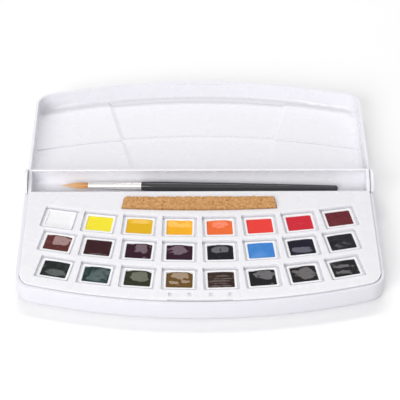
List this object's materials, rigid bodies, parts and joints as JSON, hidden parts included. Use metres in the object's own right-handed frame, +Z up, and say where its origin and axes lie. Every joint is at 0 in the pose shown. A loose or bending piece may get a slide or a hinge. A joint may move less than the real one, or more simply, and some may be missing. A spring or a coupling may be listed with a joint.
{
  "type": "watercolour paint set",
  "caption": "Hinged white plastic box lying open flat, with bowed rows of half pans of watercolour, a sponge, a brush in the hinge trough and mixing wells in the lid",
  "frame": {"origin": "on the table, under the middle of the hinge line", "axes": "+X along the hinge line, +Y towards the opened lid, +Z up"},
  "size_m": [0.2368, 0.224, 0.0253],
  "materials": {
    "white_shell": "smooth moulded, satin gloss",
    "white_tray": "smooth moulded, gloss",
    "white_lid": "smooth moulded, gloss",
    "pan_plastic": "smooth moulded",
    "sponge": "open-pored sponge",
    "brush_lacquer": "black gloss lacquer on wood",
    "brush_metal": "polished nickel plate",
    "brush_hair": "golden synthetic hair",
    "paint_titanium_white": "dried watercolour, glazed surface",
    "paint_lemon_yellow": "dried watercolour, glazed surface",
    "paint_yellow_ochre_light": "dried watercolour, glazed surface",
    "paint_warm_yellow": "dried watercolour, glazed surface",
    "paint_orange": "dried watercolour, glazed surface",
    "paint_orange_red": "dried watercolour, glazed surface",
    "paint_red": "dried watercolour, glazed surface",
    "paint_crimson": "dried watercolour, glazed surface",
    "paint_red_brown": "dried watercolour, glazed surface",
    "paint_maroon": "dried watercolour, glazed surface",
    "paint_purple": "dried watercolour, glazed surface",
    "paint_violet": "dried watercolour, glazed surface",
    "paint_indigo": "dried watercolour, glazed surface",
    "paint_sky_blue": "dried watercolour, glazed surface",
    "paint_ultramarine": "dried watercolour, glazed surface",
    "paint_deep_blue": "dried watercolour, glazed surface",
    "paint_black_green": "dried watercolour, glazed surface",
    "paint_dark_green": "dried watercolour, glazed surface",
    "paint_olive": "dried watercolour, glazed surface",
    "paint_ochre_brown": "dried watercolour, glazed surface",
    "paint_dark_brown": "dried watercolour, glazed surface",
    "paint_charcoal": "dried watercolour, glazed surface",
    "paint_sepia": "dried watercolour, glazed surface",
    "paint_black": "dried watercolour, glazed surface"
  },
  "bodies": {
    "base": {"base_shell": "white_shell", "pan_tray": "white_tray"},
    "lid": {"lid_palette": "white_lid"},
    "brush": {"brush_handle": "brush_lacquer", "brush_ferrule": "brush_metal", "brush_hair": "brush_hair"},
    "sponge": {"sponge": "sponge"},
    "pan_01": {"half_pan_01": "pan_plastic", "paint_01": "paint_titanium_white"},
    "pan_02": {"half_pan_02": "pan_plastic", "paint_02": "paint_lemon_yellow"},
    "pan_03": {"half_pan_03": "pan_plastic", "paint_03": "paint_yellow_ochre_light"},
    "pan_04": {"half_pan_04": "pan_plastic", "paint_04": "paint_warm_yellow"},
    "pan_05": {"half_pan_05": "pan_plastic", "paint_05": "paint_orange"},
    "pan_06": {"half_pan_06": "pan_plastic", "paint_06": "paint_orange_red"},
    "pan_07": {"half_pan_07": "pan_plastic", "paint_07": "paint_red"},
    "pan_08": {"half_pan_08": "pan_plastic", "paint_08": "paint_crimson"},
    "pan_09": {"half_pan_09": "pan_plastic", "paint_09": "paint_red_brown"},
    "pan_10": {"half_pan_10": "pan_plastic", "paint_10": "paint_maroon"},
    "pan_11": {"half_pan_11": "pan_plastic", "paint_11": "paint_purple"},
    "pan_12": {"half_pan_12": "pan_plastic", "paint_12": "paint_violet"},
    "pan_13": {"half_pan_13": "pan_plastic", "paint_13": "paint_indigo"},
    "pan_14": {"half_pan_14": "pan_plastic", "paint_14": "paint_sky_blue"},
    "pan_15": {"half_pan_15": "pan_plastic", "paint_15": "paint_ultramarine"},
    "pan_16": {"half_pan_16": "pan_plastic", "paint_16": "paint_deep_blue"},
    "pan_17": {"half_pan_17": "pan_plastic", "paint_17": "paint_black_green"},
    "pan_18": {"half_pan_18": "pan_plastic", "paint_18": "paint_dark_green"},
    "pan_19": {"half_pan_19": "pan_plastic", "paint_19": "paint_olive"},
    "pan_20": {"half_pan_20": "pan_plastic", "paint_20": "paint_ochre_brown"},
    "pan_21": {"half_pan_21": "pan_plastic", "paint_21": "paint_dark_brown"},
    "pan_22": {"half_pan_22": "pan_plastic", "paint_22": "paint_charcoal"},
    "pan_23": {"half_pan_23": "pan_plastic", "paint_23": "paint_sepia"},
    "pan_24": {"half_pan_24": "pan_plastic", "paint_24": "paint_black"}
  },
  "joints": [
    {"name": "lid_hinge", "type": "hinge", "parent": "base", "child": "lid", "pos_m": [0, 0, 0.0156], "axis": [-1, 0, 0], "range_deg": [-180, 0]},
    {"name": "pan_01_lift", "type": "slide", "parent": "base", "child": "pan_01", "axis": [0, 0, 1], "range_m": [0, 0.012]},
    {"name": "pan_02_lift", "type": "slide", "parent": "base", "child": "pan_02", "axis": [0, 0, 1], "range_m": [0, 0.012]},
    {"name": "pan_03_lift", "type": "slide", "parent": "base", "child": "pan_03", "axis": [0, 0, 1], "range_m": [0, 0.012]},
    {"name": "pan_04_lift", "type": "slide", "parent": "base", "child": "pan_04", "axis": [0, 0, 1], "range_m": [0, 0.012]},
    {"name": "pan_05_lift", "type": "slide", "parent": "base", "child": "pan_05", "axis": [0, 0, 1], "range_m": [0, 0.012]},
    {"name": "pan_06_lift", "type": "slide", "parent": "base", "child": "pan_06", "axis": [0, 0, 1], "range_m": [0, 0.012]},
    {"name": "pan_07_lift", "type": "slide", "parent": "base", "child": "pan_07", "axis": [0, 0, 1], "range_m": [0, 0.012]},
    {"name": "pan_08_lift", "type": "slide", "parent": "base", "child": "pan_08", "axis": [0, 0, 1], "range_m": [0, 0.012]},
    {"name": "pan_09_lift", "type": "slide", "parent": "base", "child": "pan_09", "axis": [0, 0, 1], "range_m": [0, 0.012]},
    {"name": "pan_10_lift", "type": "slide", "parent": "base", "child": "pan_10", "axis": [0, 0, 1], "range_m": [0, 0.012]},
    {"name": "pan_11_lift", "type": "slide", "parent": "base", "child": "pan_11", "axis": [0, 0, 1], "range_m": [0, 0.012]},
    {"name": "pan_12_lift", "type": "slide", "parent": "base", "child": "pan_12", "axis": [0, 0, 1], "range_m": [0, 0.012]},
    {"name": "pan_13_lift", "type": "slide", "parent": "base", "child": "pan_13", "axis": [0, 0, 1], "range_m": [0, 0.012]},
    {"name": "pan_14_lift", "type": "slide", "parent": "base", "child": "pan_14", "axis": [0, 0, 1], "range_m": [0, 0.012]},
    {"name": "pan_15_lift", "type": "slide", "parent": "base", "child": "pan_15", "axis": [0, 0, 1], "range_m": [0, 0.012]},
    {"name": "pan_16_lift", "type": "slide", "parent": "base", "child": "pan_16", "axis": [0, 0, 1], "range_m": [0, 0.012]},
    {"name": "pan_17_lift", "type": "slide", "parent": "base", "child": "pan_17", "axis": [0, 0, 1], "range_m": [0, 0.012]},
    {"name": "pan_18_lift", "type": "slide", "parent": "base", "child": "pan_18", "axis": [0, 0, 1], "range_m": [0, 0.012]},
    {"name": "pan_19_lift", "type": "slide", "parent": "base", "child": "pan_19", "axis": [0, 0, 1], "range_m": [0, 0.012]},
    {"name": "pan_20_lift", "type": "slide", "parent": "base", "child": "pan_20", "axis": [0, 0, 1], "range_m": [0, 0.012]},
    {"name": "pan_21_lift", "type": "slide", "parent": "base", "child": "pan_21", "axis": [0, 0, 1], "range_m": [0, 0.012]},
    {"name": "pan_22_lift", "type": "slide", "parent": "base", "child": "pan_22", "axis": [0, 0, 1], "range_m": [0, 0.012]},
    {"name": "pan_23_lift", "type": "slide", "parent": "base", "child": "pan_23", "axis": [0, 0, 1], "range_m": [0, 0.012]},
    {"name": "pan_24_lift", "type": "slide", "parent": "base", "child": "pan_24", "axis": [0, 0, 1], "range_m": [0, 0.012]},
    {"name": "brush_lift", "type": "slide", "parent": "base", "child": "brush", "axis": [0, 0, 1], "range_m": [0, 0.03]},
    {"name": "sponge_lift", "type": "slide", "parent": "base", "child": "sponge", "axis": [0, 0, 1], "range_m": [0, 0.015]}
  ]
}
